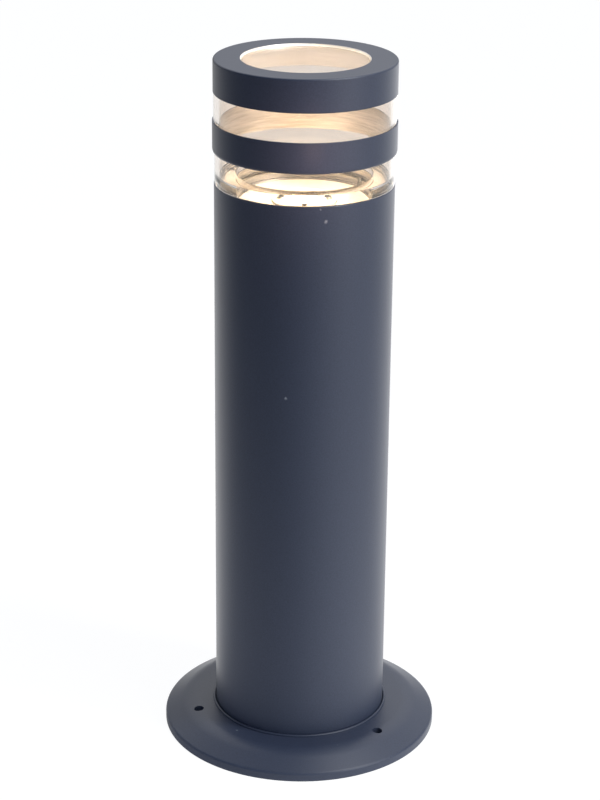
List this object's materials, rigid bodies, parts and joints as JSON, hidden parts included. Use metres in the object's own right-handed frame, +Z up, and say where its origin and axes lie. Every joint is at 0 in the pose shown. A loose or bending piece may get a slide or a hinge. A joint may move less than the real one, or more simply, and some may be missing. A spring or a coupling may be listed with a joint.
{
  "type": "garden post light",
  "caption": "Round outdoor post light: flanged tube post with a clear lit head that shows between a middle band and a cap ring, and a ribbed bolt-down flange.",
  "frame": {"origin": "centre of the flange's underside, on the ground", "axes": "+Z up along the post; -Y faces the viewer, with the terminal box's lid on that side"},
  "size_m": [0.18, 0.18, 0.45],
  "materials": {
    "powder_coat": "fine-textured satin powder coat, anthracite",
    "clear_acrylic": "clear polished acrylic",
    "cast_aluminium": "as cast and turned",
    "zinc_steel": "bright zinc plated",
    "rubber_seal": "smooth moulded",
    "board_white": "white solder mask",
    "light_source": "warm phosphor",
    "reflector_white": "moulded gloss white",
    "driver_case": "moulded, fine texture",
    "box_grey": "moulded light grey",
    "terminal_white": "moulded natural nylon",
    "gland_black": "moulded nylon",
    "brass": "turned",
    "lead_jacket": "extruded jacket",
    "earth_jacket": "green and yellow insulation"
  },
  "bodies": {
    "root": {"base_flange": "powder_coat", "foot_gasket": "rubber_seal", "post_tube": "powder_coat", "tie_rods": "zinc_steel", "tie_washers": "zinc_steel", "tie_nuts": "zinc_steel", "heat_sink": "cast_aluminium", "led_board": "board_white", "led_emitter": "light_source", "board_screws": "zinc_steel", "reflector": "reflector_white", "lens_screws": "zinc_steel", "lens_seal": "rubber_seal", "lens_block": "clear_acrylic", "middle_band": "powder_coat", "top_window": "clear_acrylic", "cap_seal": "rubber_seal", "cap_ring": "powder_coat", "gear_tray": "zinc_steel", "tray_screws": "zinc_steel", "led_driver": "driver_case", "driver_screws": "zinc_steel", "terminal_box": "box_grey", "box_screws": "zinc_steel", "terminal_block": "terminal_white", "lid_seal": "rubber_seal", "box_lid": "box_grey", "lid_screws": "zinc_steel", "cable_gland": "gland_black", "gland_locknut": "gland_black", "gland_seal": "rubber_seal", "gland_nut": "gland_black", "earth_tag": "cast_aluminium", "earth_screw": "brass", "earth_lead": "earth_jacket", "mains_lead": "lead_jacket", "led_lead": "lead_jacket"}
  },
  "joints": []
}
